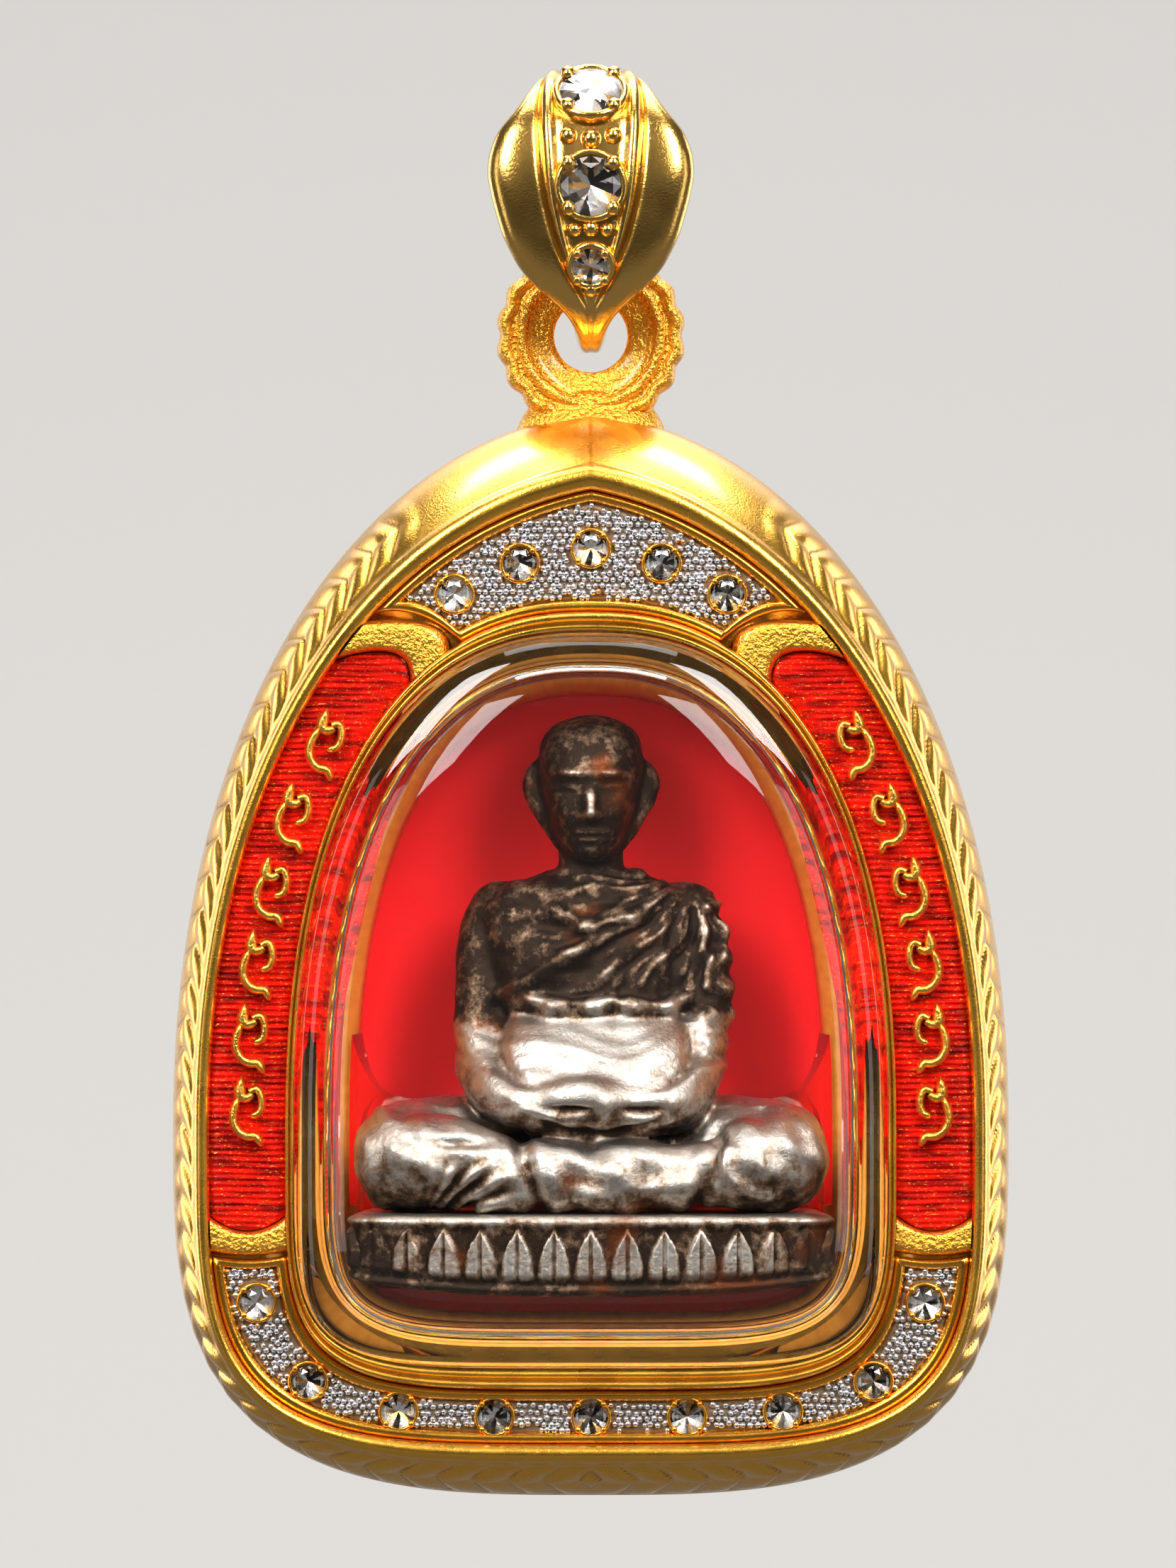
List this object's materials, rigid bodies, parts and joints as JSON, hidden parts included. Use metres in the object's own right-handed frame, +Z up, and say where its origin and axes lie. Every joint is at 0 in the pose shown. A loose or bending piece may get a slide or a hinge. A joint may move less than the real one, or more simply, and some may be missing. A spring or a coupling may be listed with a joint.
{
  "type": "monk figure amulet",
  "caption": "Pendant amulet: a cast seated monk figure in a clear domed capsule, held by a gold frame with enamel and stones, hanging from a stone-set bail.",
  "frame": {"origin": "top of the bail's hollow, where the neck chain carries the bail", "axes": "+Z up as it hangs, +X to the viewer's right, -Y towards the viewer"},
  "size_m": [0.032, 0.0137, 0.0545],
  "materials": {
    "gold_plate": "polished and matte gold plate",
    "rhodium_grain": "granulated white plate",
    "red_enamel": "ribbed translucent red enamel",
    "clear_acrylic": "clear polished acrylic",
    "red_card": "satin red card",
    "white_zircon": "clear faceted stone",
    "dark_alloy": "grey cast alloy with dark patina"
  },
  "bodies": {
    "bail": {"bail": "gold_plate", "bail_stone_top": "white_zircon", "bail_stone_middle": "white_zircon", "bail_stone_low": "white_zircon"},
    "pendant": {"case_frame": "gold_plate", "enamel_left": "red_enamel", "enamel_right": "red_enamel", "pave_crown": "rhodium_grain", "pave_foot": "rhodium_grain", "crystal_dome": "clear_acrylic", "crystal_back": "clear_acrylic", "figure_cradle": "clear_acrylic", "red_card": "red_card", "figure": "dark_alloy", "pave_crown_stone_1": "white_zircon", "pave_crown_stone_2": "white_zircon", "pave_crown_stone_3": "white_zircon", "pave_crown_stone_4": "white_zircon", "pave_crown_stone_5": "white_zircon", "pave_foot_stone_1": "white_zircon", "pave_foot_stone_2": "white_zircon", "pave_foot_stone_3": "white_zircon", "pave_foot_stone_4": "white_zircon", "pave_foot_stone_5": "white_zircon", "pave_foot_stone_6": "white_zircon", "pave_foot_stone_7": "white_zircon", "pave_foot_stone_8": "white_zircon", "pave_foot_stone_9": "white_zircon"}
  },
  "joints": [
    {"name": "pendant_swing", "type": "hinge", "parent": "bail", "child": "pendant", "pos_m": [0, 0, -0.0085], "axis": [0, 1, 0], "range_deg": [-75, 75]}
  ]
}
